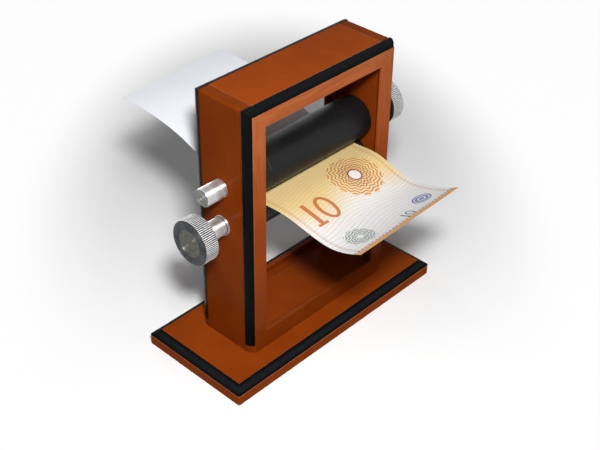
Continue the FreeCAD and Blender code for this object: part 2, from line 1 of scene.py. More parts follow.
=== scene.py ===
"""Looks of the hand-turned paper mangle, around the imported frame.

Shapes and shader sizes are in millimetres. Objects, lamps and the camera are in metres. +X runs
along the rollers towards the upper knob, -Y is the front, where the note comes out, and +Z is up.
"""
import json
import math

import bmesh
import bpy
import numpy as np
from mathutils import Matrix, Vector


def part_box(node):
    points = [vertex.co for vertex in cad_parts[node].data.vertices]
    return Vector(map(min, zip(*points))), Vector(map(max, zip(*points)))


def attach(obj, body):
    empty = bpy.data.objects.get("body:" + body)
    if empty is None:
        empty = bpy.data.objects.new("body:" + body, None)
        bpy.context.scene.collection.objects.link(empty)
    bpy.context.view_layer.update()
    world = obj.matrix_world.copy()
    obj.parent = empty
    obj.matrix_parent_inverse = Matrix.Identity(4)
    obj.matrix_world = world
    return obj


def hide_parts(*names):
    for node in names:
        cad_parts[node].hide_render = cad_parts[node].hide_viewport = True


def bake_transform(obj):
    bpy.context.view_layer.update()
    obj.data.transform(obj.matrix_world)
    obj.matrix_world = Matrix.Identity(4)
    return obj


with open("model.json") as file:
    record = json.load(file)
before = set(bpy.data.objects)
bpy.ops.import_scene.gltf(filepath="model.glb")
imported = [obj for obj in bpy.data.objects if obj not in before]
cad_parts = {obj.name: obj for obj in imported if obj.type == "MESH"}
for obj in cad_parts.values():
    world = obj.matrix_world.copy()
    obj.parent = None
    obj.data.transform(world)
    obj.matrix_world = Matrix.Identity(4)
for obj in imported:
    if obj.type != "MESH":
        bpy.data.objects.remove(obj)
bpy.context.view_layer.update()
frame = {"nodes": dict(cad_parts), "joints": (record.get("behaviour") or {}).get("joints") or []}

nodes = frame["nodes"]
MM = 0.001
X, Y, Z = range(3)


# Sizes taken from the frame


def span(node, axis):
    """The lowest and highest coordinate of a CAD node along an axis."""
    low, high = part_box(node)
    return round(low[axis] / MM, 2), round(high[axis] / MM, 2)


def reach(node, axis):
    """How far a CAD node goes from zero along an axis, on the side where it goes further."""
    return max(abs(place) for place in span(node, axis))


HALF_WIDTH = reach("front_top_rail", X)
HALF_DEPTH = reach("front_top_rail", Y)
TOP = reach("front_top_rail", Z)
MOULDING_BACK = -span("front_top_rail", Y)[1]
BASE_HALF_LENGTH = reach("base_board", X)
BASE_HALF_WIDTH = reach("base_board", Y)
BASE_TOP = reach("base_board", Z)
AXLE_RADIUS = reach("upper_axle", Y)
CORE_RADIUS = reach("upper_roller_core", Y)
KNOB_RADIUS = reach("upper_knob", Y)
PAPER_SIDES = span("note", X)
NIP = (span("lower_cloth_winding", Z)[1] + span("upper_cloth_winding", Z)[0]) / 2
AXIS_HEIGHT = {
    joint["child"]: joint["pos_m"][Z] / MM
    for joint in frame["joints"]
    if joint["type"] == "hinge"
}

# Sizes of what the photograph shows on the surfaces

BASE_BAND_WIDTH = 4.72
BASE_BAND_DROP = 3.45
BASE_LEDGE_DROP = 3.75
SEAM_INSET = 0.3
BLACK_ROUND_WIDTH = 2.7
BLACK_ROUND_START = BASE_TOP + 4.6
DISH_RADIUS = 7.6
DISH_DEPTH = 0.8
KNURL_TEETH = 76
KNURL_DEPTH = 0.45
KNURL_WIDTH = 0.70
CREASE_PLACE = -30.0
NOTE_LENGTH = 81.0


# Shader arithmetic


class Field:
    """A number that varies over a surface, held by a socket of a node tree."""

    def __init__(self, tree, socket):
        self.tree = tree
        self.socket = socket

    def op(self, operation, *others):
        """This field and others, each a field or a number, through one Math node."""
        node = self.tree.nodes.new("ShaderNodeMath")
        node.operation = operation
        for slot, value in zip(node.inputs, (self, *others)):
            if isinstance(value, Field):
                self.tree.links.new(value.socket, slot)
            else:
                slot.default_value = value
        return Field(self.tree, node.outputs[0])

    def __add__(self, other):
        return self.op("ADD", other)

    def __sub__(self, other):
        return self.op("SUBTRACT", other)

    def __rsub__(self, other):
        return self * -1.0 + other

    def __mul__(self, other):
        return self.op("MULTIPLY", other)

    def __truediv__(self, other):
        return self.op("DIVIDE", other)

    def abs(self):
        return self.op("ABSOLUTE")

    def sin(self):
        return self.op("SINE")

    def both(self, other):
        """How far both of two shares from 0 to 1 hold."""
        return self * other

    def either(self, other):
        """The larger of two shares."""
        return self.op("MAXIMUM", other)

    def ramp(self, low, high, start=0.0, end=1.0):
        """From start, where the field is low or less, smoothly to end, where it is high or more."""
        node = self.tree.nodes.new("ShaderNodeMapRange")
        node.interpolation_type = "SMOOTHSTEP"
        self.tree.links.new(self.socket, node.inputs["Value"])
        node.inputs["From Min"].default_value = low
        node.inputs["From Max"].default_value = high
        node.inputs["To Min"].default_value = start
        node.inputs["To Max"].default_value = end
        return Field(self.tree, node.outputs["Result"])

    def above(self, edge, soft=0.0):
        """1 where the field is above an edge and 0 below it, over a soft width."""
        if not soft:
            return self.op("GREATER_THAN", edge)
        return self.ramp(edge - soft / 2, edge + soft / 2)

    def below(self, edge, soft=0.0):
        """1 where the field is below an edge and 0 above it, over a soft width."""
        return 1.0 - self.above(edge, soft)


def length(a, b):
    """The distance that two fields at right angles make."""
    return (a * a + b * b).op("SQRT")


def new_material(name):
    """A material, its node tree and its Principled shader."""
    material = bpy.data.materials.new(name)
    material.use_nodes = True
    tree = material.node_tree
    return material, tree, tree.nodes["Principled BSDF"]


def set_shader(shader, **values):
    """Sets constants on the shader's own sockets, named with _ for a space."""
    for name, value in values.items():
        shader.inputs[name.replace("_", " ")].default_value = value


def link_shader(tree, shader, **sources):
    """Links fields or sockets to the shader's sockets, named with _ for a space."""
    for name, source in sources.items():
        socket = source.socket if isinstance(source, Field) else source
        tree.links.new(socket, shader.inputs[name.replace("_", " ")])


def coordinates(tree, kind="Object", scale=1.0 / MM):
    """A vector socket with the place on the object in millimetres, or with another kind."""
    source = tree.nodes.new("ShaderNodeTexCoord")
    node = tree.nodes.new("ShaderNodeVectorMath")
    node.operation = "SCALE"
    node.inputs["Scale"].default_value = scale
    tree.links.new(source.outputs[kind], node.inputs[0])
    return node.outputs[0]


def split(tree, vector):
    """The three coordinates of a vector socket, as fields."""
    node = tree.nodes.new("ShaderNodeSeparateXYZ")
    tree.links.new(vector, node.inputs[0])
    return [Field(tree, node.outputs[axis]) for axis in "XYZ"]


def drawn_out(tree, vector, axis, share):
    """A vector socket that makes a pattern longer along an axis, by one over the share."""
    node = tree.nodes.new("ShaderNodeVectorMath")
    node.operation = "MULTIPLY"
    node.inputs[1].default_value = [share if axis == each else 1.0 for each in (X, Y, Z)]
    tree.links.new(vector, node.inputs[0])
    return node.outputs[0]


def noise(tree, vector, size, detail=2.0, roughness=0.5):
    """Noise from 0 to 1 with features of about size millimetres."""
    node = tree.nodes.new("ShaderNodeTexNoise")
    node.inputs["Scale"].default_value = 1.0 / size
    node.inputs["Detail"].default_value = detail
    node.inputs["Roughness"].default_value = roughness
    tree.links.new(vector, node.inputs["Vector"])
    return Field(tree, node.outputs["Fac"])


def pebbles(tree, vector, size):
    """Soft pits round scattered points about size millimetres apart, with ridges between."""
    node = tree.nodes.new("ShaderNodeTexVoronoi")
    node.feature = "SMOOTH_F1"
    node.inputs["Scale"].default_value = 1.0 / size
    tree.links.new(vector, node.inputs["Vector"])
    return Field(tree, node.outputs["Distance"])


def mix(tree, share, first, second):
    """A colour socket between two colours, each a socket or three numbers."""
    node = tree.nodes.new("ShaderNodeMix")
    node.data_type = "RGBA"
    if isinstance(share, Field):
        tree.links.new(share.socket, node.inputs["Factor"])
    else:
        node.inputs["Factor"].default_value = share
    for name, value in (("A", first), ("B", second)):
        slot = [s for s in node.inputs if s.name == name and s.type == "RGBA"][0]
        if isinstance(value, bpy.types.NodeSocket):
            tree.links.new(value, slot)
        else:
            slot.default_value = (*value, 1.0)
    return [s for s in node.outputs if s.type == "RGBA"][0]


def scaled(colour, factor):
    """A colour made deeper or paler by a factor."""
    return tuple(factor * channel for channel in colour)


def bump(tree, height, depth, normal=None):
    """A normal socket from a height field that stands depth millimetres high."""
    node = tree.nodes.new("ShaderNodeBump")
    node.inputs["Distance"].default_value = depth * MM
    tree.links.new(height.socket, node.inputs["Height"])
    if normal is not None:
        tree.links.new(normal, node.inputs["Normal"])
    return node.outputs[0]


def soft_edges(tree, radius):
    """A normal that rounds the object's sharp edges by a radius."""
    node = tree.nodes.new("ShaderNodeBevel")
    node.samples = 4
    node.inputs["Radius"].default_value = radius * MM
    return node.outputs[0]


def edge_rise(tree, rounded):
    """A field that rises on sharp edges, from a normal that rounds them."""
    source = tree.nodes.new("ShaderNodeNewGeometry")
    dot = tree.nodes.new("ShaderNodeVectorMath")
    dot.operation = "DOT_PRODUCT"
    tree.links.new(source.outputs["Normal"], dot.inputs[0])
    tree.links.new(rounded, dot.inputs[1])
    return 1.0 - Field(tree, dot.outputs["Value"])


# Paint

RUST_DEEP = (0.262, 0.0430, 0.0034)
RUST_PALE = (0.318, 0.0560, 0.0048)
RUST_WARM = (0.370, 0.0730, 0.0085)
# Paler rust for worn edges that also carry a painted highlight, for a painted highlight along the
# base's ledge and for the mouldings' painted sheen
RUST_WEAR_AND_SHEEN = (0.500, 0.180, 0.070)
BLACK = (0.0016, 0.0016, 0.0016)
BLACK_PALE = (0.0046, 0.0049, 0.0052)
# Paler, bluer black for a painted sheen on faces that face up or aside
BLACK_PAINTED_SHEEN = (0.0120, 0.0138, 0.0160)
# Heights between which the mouldings' painted shade at their foot gives way, and then a painted
# sheen grows towards their top
PAINTED_SHADE_HEIGHTS = (10.0, 115.0)
PAINTED_SHEEN_HEIGHTS = (80.0, 150.0)


def gloss_black(tree, lumps, painted_sheen):
    """A colour socket of thick black paint, with a paler, bluer painted sheen where it faces up or
    aside.
    """
    aside, _, up = split(tree, coordinates(tree, "Normal", 1.0))
    lit = up.ramp(0.50, 0.82).both(up.ramp(0.90, 1.0, 1.0, 0.30))
    lit = lit.either(aside.abs().ramp(0.55, 0.85) * 0.35)
    black = mix(tree, lumps, BLACK, BLACK_PALE)
    return mix(tree, lit * lumps.ramp(0.30, 0.62, 0.4 * painted_sheen, painted_sheen), black, BLACK_PAINTED_SHEEN)


def painted_wood(name, axis, share=0.10, edge=0.35, shine=0.008, shade_tone=1.0, seams=False,
                 painted_height_light=False, banded=False):
    """Glossy orange-brown paint, brushed on along one axis.

    The strokes are longer than wide by one over share. edge is the radius of the soft edges, and
    shade_tone deepens the whole colour, as painted shade on pieces that get less light. seams
    darkens the joints with the mouldings. painted_height_light is for a moulding: painted shade at
    its foot, and a streaky painted sheen towards its top. banded adds the base board's black band,
    with a painted highlight along the ledge under it.
    """
    deep, pale, warm = (scaled(rust, shade_tone) for rust in (RUST_DEEP, RUST_PALE, RUST_WARM))
    material, tree, shader = new_material(name)
    vector = coordinates(tree)
    x, y, z = split(tree, vector)
    clouds = noise(tree, vector, 26.0, 3.0)
    strokes = noise(tree, drawn_out(tree, vector, axis, share), 0.9, 3.0)
    specks = noise(tree, vector, 0.45, 2.0)
    peel = noise(tree, vector, 1.6, 1.0)
    rounded = soft_edges(tree, edge)
    # Sharp edges turn paler: partly worn paint, partly a painted highlight where they catch light
    edge_wear_and_highlight = edge_rise(tree, rounded).ramp(0.015, 0.14) * clouds.ramp(0.25, 0.55, 0.45, 1.0)
    colour = mix(tree, clouds.ramp(0.3, 0.7), deep, pale)
    colour = mix(tree, strokes.ramp(0.35, 0.75) * 0.5, colour, deep)
    colour = mix(tree, specks.ramp(0.55, 0.8) * 0.45, colour, warm)
    colour = mix(tree, edge_wear_and_highlight, colour, RUST_WEAR_AND_SHEEN)
    height = peel * 0.5 + strokes * 0.5
    rough = clouds * 0.05 + strokes * 0.08 + 0.12
    if seams:
        seam = (y.abs() - (MOULDING_BACK - SEAM_INSET)).abs().below(0.40, 0.30)
        colour = mix(tree, seam * 0.45, colour, scaled(deep, 0.2))
    if painted_height_light:
        # Painted shade at the moulding's foot, and a streaky painted sheen towards its top
        streaks = strokes.ramp(0.25, 0.75, 0.35, 1.0) * clouds.ramp(0.2, 0.8, 0.75, 1.0)
        colour = mix(tree, z.ramp(*PAINTED_SHADE_HEIGHTS, 0.55, 0.0), colour, scaled(deep, 0.45))
        colour = mix(tree, z.ramp(*PAINTED_SHEEN_HEIGHTS) * streaks * 0.62, colour, RUST_WEAR_AND_SHEEN)
    if banded:
        black = base_band(x, y, z + (noise(tree, vector, 6.0) * 0.144 - 0.072))
        lumps = noise(tree, vector, 0.9, 3.0)
        # A pale line just under the band is a painted highlight along a ledge that catches light
        ledge_highlight = (z - (BASE_TOP - BASE_LEDGE_DROP)).abs().below(0.26, 0.16)
        colour = mix(tree, ledge_highlight * 0.55, colour, RUST_WEAR_AND_SHEEN)
        colour = mix(tree, black, colour, gloss_black(tree, lumps, 1.0))
        rough = rough + black * (lumps * 0.15 + 0.02)
        height = height + black * lumps * 3.0
    link_shader(tree, shader, Base_Color=colour, Roughness=rough,
                Normal=bump(tree, height, 0.014, rounded))
    set_shader(shader, Specular_IOR_Level=shine)
    return material


def base_band(x, y, height):
    """Black on the round along the base board's top edges."""
    ends = x.abs().above(BASE_HALF_LENGTH - BASE_BAND_WIDTH)
    sides = y.abs().above(BASE_HALF_WIDTH - BASE_BAND_WIDTH)
    return ends.either(sides).both(height.above(BASE_TOP - BASE_BAND_DROP))


def black_paint():
    """The black gloss of the stepped round, with small lumps of thick paint and a faint painted
    sheen.
    """
    material, tree, shader = new_material("black_paint")
    vector = coordinates(tree)
    lumps = noise(tree, vector, 0.9, 3.0)
    runs = noise(tree, vector, 5.0, 1.0)
    normal = bump(tree, lumps * 0.7 + runs * 0.6, 0.24, soft_edges(tree, 0.3))
    link_shader(tree, shader, Base_Color=gloss_black(tree, lumps, 0.4),
                Roughness=lumps * 0.14 + 0.08, Normal=normal)
    set_shader(shader, Specular_IOR_Level=0.022)
    return material


# Cloth, metal and wood

# Each pair of shades is the darkest and the palest of one surface.
CLOTH_SHADES = ((0.0060, 0.0062, 0.0064), (0.0110, 0.0112, 0.0114))
ROUND_SHADES = ((0.66, 0.66, 0.66), (0.95, 0.95, 0.945))
# Painted shade: the end faces of turned metal are much darker than its round faces
END_PAINTED_SHADE = ((0.16, 0.16, 0.145), (0.34, 0.34, 0.315))
# Painted reflection of dark surroundings on a knob's dish and on the ring round it
DISH_PAINTED_REFLECTION = ((0.085, 0.083, 0.068), (0.17, 0.165, 0.14))
RIM_PAINTED_REFLECTION = ((0.030, 0.034, 0.038), (0.100, 0.107, 0.114))
DOWEL_SHADES = ((0.012, 0.010, 0.009), (0.045, 0.035, 0.028))
# Painted shade in the notches of a knob's knurled rim
KNURL_PAINTED_SHADE = (0.010, 0.0098, 0.009)
STEEL = (0.55, 0.55, 0.55)
ZINC = (0.50, 0.50, 0.47)
BRASS = (0.70, 0.50, 0.19)


def leathercloth():
    """Satin black coated cloth, with a fine pebble grain and a soft waviness."""
    material, tree, shader = new_material("leathercloth")
    vector = coordinates(tree)
    grain = pebbles(tree, vector, 0.55)
    pores = noise(tree, vector, 0.22, 2.0)
    stretched = drawn_out(tree, drawn_out(tree, vector, Y, 0.45), Z, 0.45)
    waves = noise(tree, stretched, 9.0, 1.0)
    normal = bump(tree, waves, 0.35)
    normal = bump(tree, grain * 0.7 + pores * 0.3, 0.045, normal)
    link_shader(tree, shader, Base_Color=mix(tree, waves, *CLOTH_SHADES),
                Roughness=waves.ramp(0.3, 0.7, 0.30, 0.38) + pores * 0.06, Normal=normal)
    set_shader(shader, Specular_IOR_Level=0.145)
    return material


def ring_vector(tree, x, around):
    """A vector that is the same all round an axis, for marks that run round it."""
    node = tree.nodes.new("ShaderNodeCombineXYZ")
    tree.links.new(x.socket, node.inputs["X"])
    tree.links.new(around.socket, node.inputs["Y"])
    return node.outputs[0]


def end_faces(tree):
    """1 on faces that lie across the object's own X axis."""
    source = tree.nodes.new("ShaderNodeNewGeometry")
    turn = tree.nodes.new("ShaderNodeVectorTransform")
    turn.vector_type = "NORMAL"
    turn.convert_from = "WORLD"
    turn.convert_to = "OBJECT"
    tree.links.new(source.outputs["True Normal"], turn.inputs[0])
    return split(tree, turn.outputs[0])[X].abs().above(0.8, 0.2)


def turned_metal(name, knob=False):
    """Aluminium turned on a lathe about its own X axis, with fine rings and an uneven sheen.

    The end faces get a much darker colour than the round ones, as painted shade. A knob's dished
    face and the ring round it get dark colours as painted reflection of dark surroundings, and the
    notches between the teeth of its rim get painted shade.
    """
    material, tree, shader = new_material(name)
    vector = coordinates(tree)
    x, y, z = split(tree, vector)
    around = length(y, z)
    rings = noise(tree, ring_vector(tree, x, around), 0.22, 2.0)
    broad = noise(tree, ring_vector(tree, x, around), 1.3, 1.0)
    stain = noise(tree, vector, 3.0, 3.0)
    streaks = rings.ramp(0.3, 0.7) * 0.55 + stain.ramp(0.35, 0.65) * 0.45
    # End faces get a darker colour as painted shade
    end = end_faces(tree)
    round_shade = mix(tree, streaks, *ROUND_SHADES)
    if knob:
        end = end.either(around.below(DISH_RADIUS + 1.0))
        # The dish and the ring round it carry painted reflection
        end_painted_shade = mix(tree, around.above(DISH_RADIUS, 0.4), mix(tree, streaks, *DISH_PAINTED_REFLECTION),
                        mix(tree, streaks, *RIM_PAINTED_REFLECTION))
        # Painted shade in the notches between the knurl's teeth
        notch_shade = around.below(KNOB_RADIUS - 0.08, 0.08).both(around.above(KNOB_RADIUS - 0.5))
        round_shade = mix(tree, notch_shade * 0.97, round_shade, KNURL_PAINTED_SHADE)
    else:
        end_painted_shade = mix(tree, streaks, *END_PAINTED_SHADE)
    tangent = tree.nodes.new("ShaderNodeTangent")
    tangent.direction_type = "RADIAL"
    tangent.axis = "X"
    link_shader(tree, shader, Base_Color=mix(tree, end, round_shade, end_painted_shade),
                Roughness=broad.ramp(0.3, 0.7, 0.34, 0.46) + stain * 0.08,
                Normal=bump(tree, rings, 0.010), Tangent=tangent.outputs[0])
    set_shader(shader, Metallic=1.0, Anisotropic=0.9, Anisotropic_Rotation=0.25)
    return material


def plain_metal(name, colour, rough):
    """Drawn or plated metal with faint marks along X."""
    material, tree, shader = new_material(name)
    marks = noise(tree, drawn_out(tree, coordinates(tree), X, 0.1), 0.4, 2.0)
    link_shader(tree, shader, Base_Color=mix(tree, marks, scaled(colour, 0.7), colour),
                Roughness=marks.ramp(0.2, 0.8, rough - 0.06, rough + 0.08))
    set_shader(shader, Metallic=1.0)
    return material


def stained_wood():
    """The rollers' cores, dowels stained black."""
    material, tree, shader = new_material("stained_dowel")
    grain = noise(tree, drawn_out(tree, coordinates(tree), X, 0.08), 0.7, 3.0)
    link_shader(tree, shader, Base_Color=mix(tree, grain, *DOWEL_SHADES),
                Normal=bump(tree, grain, 0.05))
    set_shader(shader, Roughness=0.6)
    return material


# Paper

# A sheet's map holds the place on the flat sheet, in units of this many millimetres
MAP_UNIT = 100.0
BLANK_SHADES = ((0.88, 0.91, 0.97), (0.92, 0.94, 0.99))
CREAM = (0.78, 0.765, 0.725)
PALE = (0.77, 0.77, 0.78)
GOLD = (0.78, 0.60, 0.28)
TAN = (0.50, 0.27, 0.085)
EDGE_TAN = (0.66, 0.36, 0.15)
FIBRE_TAN = (0.50, 0.45, 0.38)
ORANGE = (0.50, 0.13, 0.022)
BROWN = (0.20, 0.055, 0.016)
GREEN = (0.018, 0.115, 0.062)
BLUE = (0.020, 0.055, 0.30)


def paper_surface(tree, shader, vector):
    """The fibres of matt paper, on a shader whose colour is set elsewhere."""
    fibres = noise(tree, vector, 0.5, 3.0, 0.6)
    link_shader(tree, shader, Normal=bump(tree, fibres, 0.012))
    set_shader(shader, Roughness=0.62, Specular_IOR_Level=0.3)
    return fibres


def white_paper():
    """Plain white paper, a touch bluish, with faint clouds."""
    material, tree, shader = new_material("blank_paper")
    vector = coordinates(tree, "UV", MAP_UNIT)
    fibres = paper_surface(tree, shader, vector)
    clouds = noise(tree, vector, 14.0, 2.0)
    link_shader(tree, shader,
                Base_Color=mix(tree, clouds * 0.6 + fibres * 0.4, *BLANK_SHADES))
    return material


class Print:
    """A coloured ground on which inks are laid one after the other.

    across is the distance from the sheet's middle and along is that from the nip.
    """

    def __init__(self, tree, across, along, ground):
        self.tree = tree
        self.across = across
        self.along = along
        self.colour = ground

    def ink(self, colour, share):
        """Lays an ink over the print so far, as far as a field or a number says."""
        self.colour = mix(self.tree, share, self.colour, colour)

    def wave_lines(self, turn, pitch, width, swing, swell):
        """Fine lines across the sheet that bend from side to side."""
        bend = (self.across / swell + turn).sin() * swing
        line = ((self.along + bend) * (2.0 * math.pi / pitch)).sin()
        return line.ramp(1.0 - width, 1.0 - width * 0.2)

    def rosette(self, centre, radius, petals, pitch, swing):
        """A rosette's disc, its two sets of wavy rings and the distance from its centre."""
        a = self.across - centre[0]
        b = self.along - centre[1]
        away = length(a, b)
        petal = (b.op("ARCTAN2", a) * petals).sin()
        phase = away * (2.0 * math.pi / pitch)
        disc = (away - petal * (radius * 0.07)).below(radius, 0.3)
        rings = (phase + petal * swing).sin().ramp(-0.1, 0.7)
        counter_rings = (phase - petal * swing + 1.6).sin().ramp(0.0, 0.8)
        return disc, rings, counter_rings, away

    def numerals(self, middle, height):
        """A plain one, as a stem with its foot, and a nought, as an upright ring."""
        one = self.across - (middle[0] - height * 0.46)
        nought = self.across - (middle[0] + height * 0.16)
        down = self.along - middle[1]
        stem_width = height * 0.15
        stem = one.abs().below(stem_width / 2, 0.15).both(down.abs().below(height / 2, 0.15))
        foot = one.abs().below(stem_width * 1.35, 0.15)
        foot = foot.both((down - height * 0.46).abs().below(height * 0.05, 0.12))
        outer = length(nought * 1.55, down).below(height / 2, 0.15)
        inner = length(nought * 2.6, down * 1.28).above(height / 2, 0.15)
        return stem.either(foot).either(outer.both(inner))


def play_note(name, faint=0.0):
    """A play note of no country: guilloche waves, two rosettes, a seal and plain numerals.

    faint is how far the whole print fades into the cream of the paper.
    """
    material, tree, shader = new_material(name)
    vector = coordinates(tree, "UV", MAP_UNIT)
    u, along, _ = split(tree, vector)
    across = u - MAP_UNIT / 2
    fibres = paper_surface(tree, shader, vector)

    # The ground is gold by the nip, cream in the middle and pale at the free end.
    sweep = along + (across * 0.11 + 0.6).sin() * 5.0
    ground = mix(tree, sweep.ramp(24.0, 46.0), GOLD, CREAM)
    ground = mix(tree, along.ramp(40.0, 58.0), ground, PALE)
    note = Print(tree, across, along, ground)
    fine = note.wave_lines(turn=0.0, pitch=1.7, width=0.8, swing=2.2, swell=6.0)
    note.ink(TAN, fine.both(sweep.below(44.0, 14.0)) * 0.2)
    counter = note.wave_lines(turn=2.2, pitch=2.3, width=0.7, swing=3.0, swell=9.5)
    note.ink(ORANGE, counter.both(sweep.below(56.0, 18.0)) * 0.16)
    wide = note.wave_lines(turn=1.1, pitch=2.9, width=0.55, swing=4.0, swell=12.0)
    note.ink(GREEN, wide.both(along.above(50.0, 16.0)) * 0.14)

    # A wide rosette stands on the gold ground, and a small green one at the free end.
    disc, rings, counter_rings, away = note.rosette(
        centre=(15.0, 27.0), radius=15.5, petals=14.0, pitch=2.1, swing=1.9)
    note.ink(GOLD, disc * 0.75)
    note.ink(ORANGE, disc.both(rings) * 0.85)
    note.ink(BROWN, disc.both(counter_rings).both(away.below(9.0, 2.0)) * 0.6)
    note.ink(CREAM, away.below(3.4, 0.25))
    note.ink(BROWN, (away - 3.8).abs().below(0.35, 0.15))
    disc, rings, counter_rings, away = note.rosette(
        centre=(-22.0, 64.0), radius=8.0, petals=10.0, pitch=1.7, swing=1.6)
    note.ink(GREEN, disc.both(rings.either(counter_rings * 0.4)) * 0.8)
    note.ink(PALE, away.below(1.9, 0.25))

    # A bluish oval seal stands beside the green rosette.
    seal = length(across - 24.0, (along - 66.0) * 1.35)
    note.ink(BLUE, (seal - 5.6).abs().below(0.5, 0.15) * 0.85)
    note.ink(BLUE, seal.below(4.4, 0.2) * 0.75)
    note.ink(PALE, (seal - 2.2).abs().below(0.4, 0.15))

    note.ink(ORANGE, note.numerals(middle=(-19.0, 36.0), height=17.0) * 0.92)
    note.ink(GREEN, note.numerals(middle=(7.0, 71.5), height=6.5) * 0.92)

    # Two rules run along each long edge, and dashes and a tan band cross the free end.
    rule = (across.abs() - 35.6).abs().below(0.22, 0.12)
    rule = rule.either((across.abs() - 34.6).abs().below(0.12, 0.1))
    note.ink(TAN, rule.both(along.below(NOTE_LENGTH - 3.4)) * 0.8)
    tail = along - NOTE_LENGTH
    dashes = ((across * (2.0 * math.pi / 2.6)).sin() + 0.4).above(0.0, 0.3)
    note.ink(BROWN, (tail + 5.6).abs().below(0.55, 0.12).both(dashes) * 0.8)
    note.ink(EDGE_TAN, tail.above(-4.9, 0.2))
    note.ink(FIBRE_TAN, fibres.ramp(0.3, 0.8) * 0.06)
    if faint:
        note.ink(CREAM, faint)
    link_shader(tree, shader, Base_Color=note.colour)
    return material


# Shapes


def new_piece(name, vertices, faces, material, smooth=True, sharp=35.0):
    """A mesh object, smooth but for edges sharper than an angle in degrees."""
    mesh = bpy.data.meshes.new(name)
    mesh.from_pydata([tuple(v) for v in vertices], [], faces)
    mesh.materials.append(material)
    mesh.validate()
    if smooth:
        mesh.shade_smooth()
        mesh.set_sharp_from_angle(angle=math.radians(sharp))
    piece = bpy.data.objects.new(name, mesh)
    bpy.context.scene.collection.objects.link(piece)
    return piece


def eased(outline, radius=0.12, steps=3):
    """An open outline of (x, radius) places with each inner corner rounded."""
    places = [Vector(place) for place in outline]
    result = [places[0]]
    for before, here, after in zip(places, places[1:], places[2:]):
        back = before - here
        ahead = after - here
        cut = min(radius, back.length * 0.45, ahead.length * 0.45)
        start = here + back.normalized() * cut
        end = here + ahead.normalized() * cut
        for step in range(steps + 1):
            t = step / steps
            result.append(start * (1 - t) ** 2 + here * (2 * t * (1 - t)) + end * t**2)
    result.append(places[-1])
    return result


def knob_outline(start, end, radius):
    """A knob with a bevelled rim and a dished face that has a faint disc in its middle."""
    floor = end - DISH_DEPTH
    return eased([
        (start, AXLE_RADIUS), (start, radius - 1.0), (start + 0.1, radius - 0.5),
        (start + 0.45, radius), (end - 0.45, radius), (end - 0.1, radius - 0.5),
        (end, radius - 0.7), (end, DISH_RADIUS), (end - 0.4, DISH_RADIUS - 0.4),
        (floor + 0.1, DISH_RADIUS - 0.9), (floor, 4.2), (floor + 0.1, 4.0), (floor + 0.1, 1.0),
        (floor, 0.7), (floor, 0.0),
    ])


def sleeve_outline(start, end, radius):
    """The neck of a knob, with a ring where it meets the board and a groove beside the ring."""
    neck = radius - 0.5
    groove = radius - 1.0
    return eased([
        (start, AXLE_RADIUS), (start, radius), (start + 1.2, radius), (start + 1.3, groove),
        (start + 1.7, groove), (start + 1.8, neck), (end, neck), (end, AXLE_RADIUS),
    ])


def collar_outline(start, end, radius):
    """An end collar with a fine line cut round it, an eased rim and a small centre mark."""
    line = end - 4.5
    return eased([
        (start, AXLE_RADIUS), (start, radius), (line - 0.15, radius), (line, radius - 0.12),
        (line + 0.15, radius), (end - 0.4, radius), (end, radius - 0.4), (end, 1.2),
        (end - 0.3, 0.7), (end - 0.3, 0.0),
    ])


def winding_outline(start, end, radius):
    """A cloth winding with soft ends and a crease. Rings between them keep its shading even."""
    crease = [(CREASE_PLACE - 0.4, radius), (CREASE_PLACE, radius - 0.20),
              (CREASE_PLACE + 0.4, radius)]
    plain = [(CREASE_PLACE + 6.0 + 4.0 * ring, radius) for ring in range(17)]
    return eased([
        (start, CORE_RADIUS), (start, radius - 0.35), (start + 0.35, radius), *crease, *plain,
        (end - 0.35, radius), (end, radius - 0.35), (end, CORE_RADIUS),
    ], 0.15)


def knurl_cut(angle):
    """How deep the straight notches of a knob's rim are at an angle."""
    pitch = 2 * math.pi / KNURL_TEETH
    off = abs((angle + pitch / 2) % pitch - pitch / 2) * KNOB_RADIUS
    return KNURL_DEPTH * min(1.0, max(0.0, 1.3 - 2.6 * off / KNURL_WIDTH))


def turned_piece(name, outline, height, material, side, steps, knurled):
    """An outline of (x, radius) places turned about a line along X at a height.

    side is -1 for a piece that points to the left. Only the last place may have no radius.
    """
    vertices = []
    rings = []
    for x, radius in outline:
        ring = []
        for step in range(steps if radius else 1):
            angle = 2 * math.pi * step / steps
            out = min(radius, KNOB_RADIUS - knurl_cut(angle)) if knurled else radius
            ring.append(len(vertices))
            vertices.append((side * x * MM, math.cos(angle) * out * MM,
                             math.sin(angle) * out * MM))
        rings.append(ring if radius else ring * steps)
    faces = []
    for first, second in zip(rings, rings[1:]):
        for step in range(steps):
            following = (step + 1) % steps
            corners = (first[step], second[step], second[following], first[following])
            face = list(dict.fromkeys(corners))
            faces.append(face if side < 0 else face[::-1])
    piece = new_piece(name, vertices, faces, material)
    piece.location = (0.0, 0.0, height * MM)
    return piece


# Sheets of paper

SHEET_ROWS = 110
SHEET_COLUMNS = 40
SHEET_THICKNESS = 0.11
COCKLE = 0.10
